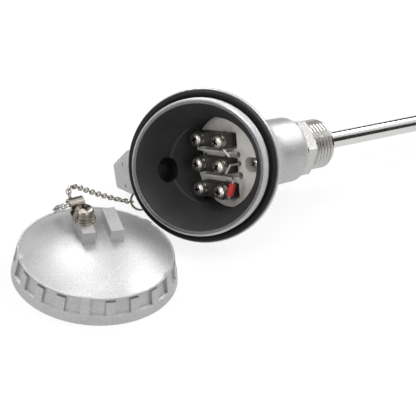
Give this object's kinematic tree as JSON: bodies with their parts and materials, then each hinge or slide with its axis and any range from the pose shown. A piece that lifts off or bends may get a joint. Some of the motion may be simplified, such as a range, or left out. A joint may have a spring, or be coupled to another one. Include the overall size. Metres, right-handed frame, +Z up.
{
  "type": "resistance temperature probe",
  "caption": "Resistance temperature probe with an open die-cast connection head, terminal block, threaded process fitting and stem, its screw cap lying beside it on a chain",
  "frame": {"origin": "middle of the hexagon's face that the process thread stands on, on the stem's axis", "axes": "+Z up from the surface the object lies on; +X is the way the stem points, seen from above"},
  "size_m": [0.3077, 0.0913, 0.0666],
  "materials": {
    "cast_aluminium": "die-cast aluminium, silver paint, satin",
    "o_ring_rubber": "black nitrile rubber",
    "base_moulding": "light grey moulding",
    "bar_metal": "dull nickel-plated brass, dark",
    "nickel_screw": "nickel-plated steel, bright",
    "zinc_washer": "zinc-plated spring steel",
    "tinned_lead": "silvery wire",
    "red_sleeve": "red silicone sleeve",
    "gland_alloy": "silver-painted alloy",
    "steel_fitting": "turned stainless steel",
    "steel_tube": "drawn and polished stainless steel",
    "alumina": "sintered alumina",
    "clip_steel": "nickel-plated strip, worn",
    "chain_steel": "nickel-plated wire"
  },
  "bodies": {
    "head": {"head_casting": "cast_aluminium", "mouth_o_ring": "o_ring_rubber", "gland_bush": "o_ring_rubber", "terminal_base": "base_moulding", "terminal_bar_1": "bar_metal", "terminal_bar_2": "bar_metal", "terminal_bar_3": "bar_metal", "terminal_washers": "zinc_washer", "base_screws": "zinc_washer", "gland_washer": "zinc_washer", "bare_leads": "tinned_lead", "sleeved_lead": "tinned_lead", "wire_sleeve": "red_sleeve", "hex_nipple": "steel_fitting", "probe_sheath": "steel_tube", "insulator": "alumina", "sensing_element": "alumina"},
    "gland": {"gland_screw": "gland_alloy"},
    "tether": {"split_ring": "chain_steel", "tether_chain": "chain_steel", "clip_strap": "clip_steel"},
    "cap": {"cap_casting": "cast_aluminium", "clip_screw": "nickel_screw", "clip_washers": "zinc_washer"},
    "screw_1": {"terminal_screw_1": "nickel_screw"},
    "screw_2": {"terminal_screw_2": "nickel_screw"},
    "screw_3": {"terminal_screw_3": "nickel_screw"},
    "screw_4": {"terminal_screw_4": "nickel_screw"},
    "screw_5": {"terminal_screw_5": "nickel_screw"},
    "screw_6": {"terminal_screw_6": "nickel_screw"}
  },
  "joints": [
    {"name": "terminal_screw_1_turn", "type": "hinge", "parent": "head", "child": "screw_1", "pos_m": [-0.05223, 0.01466, 0.01311], "axis": [-0.989, 0, 0.1482], "continuous": true},
    {"name": "terminal_screw_2_turn", "type": "hinge", "parent": "head", "child": "screw_2", "pos_m": [-0.05137, 0.00107, 0.0189], "axis": [-0.989, 0, 0.1482], "continuous": true},
    {"name": "terminal_screw_3_turn", "type": "hinge", "parent": "head", "child": "screw_3", "pos_m": [-0.05384, 0.00999, 0.00239], "axis": [-0.989, 0, 0.1482], "continuous": true},
    {"name": "terminal_screw_4_turn", "type": "hinge", "parent": "head", "child": "screw_4", "pos_m": [-0.05297, -0.0036, 0.00819], "axis": [-0.989, 0, 0.1482], "continuous": true},
    {"name": "terminal_screw_5_turn", "type": "hinge", "parent": "head", "child": "screw_5", "pos_m": [-0.05545, 0.00533, -0.00832], "axis": [-0.989, 0, 0.1482], "continuous": true},
    {"name": "terminal_screw_6_turn", "type": "hinge", "parent": "head", "child": "screw_6", "pos_m": [-0.05458, -0.00827, -0.00253], "axis": [-0.989, 0, 0.1482], "continuous": true},
    {"name": "gland_screw_turn", "type": "hinge", "parent": "head", "child": "gland", "pos_m": [-0.06592, 0.03824, -0.0141], "axis": [-0.0781, 0.8498, -0.5212], "continuous": true},
    {"name": "tether_swing", "type": "hinge", "parent": "head", "child": "tether", "pos_m": [-0.07376, 0.01926, -0.01388], "axis": [0, 0, 1], "range_deg": [-4, 4]},
    {"name": "cap_swivel", "type": "hinge", "parent": "tether", "child": "cap", "pos_m": [-0.12491, 0.00103, 0.00211], "axis": [0, 0, 1], "range_deg": [-20, 20]}
  ]
}
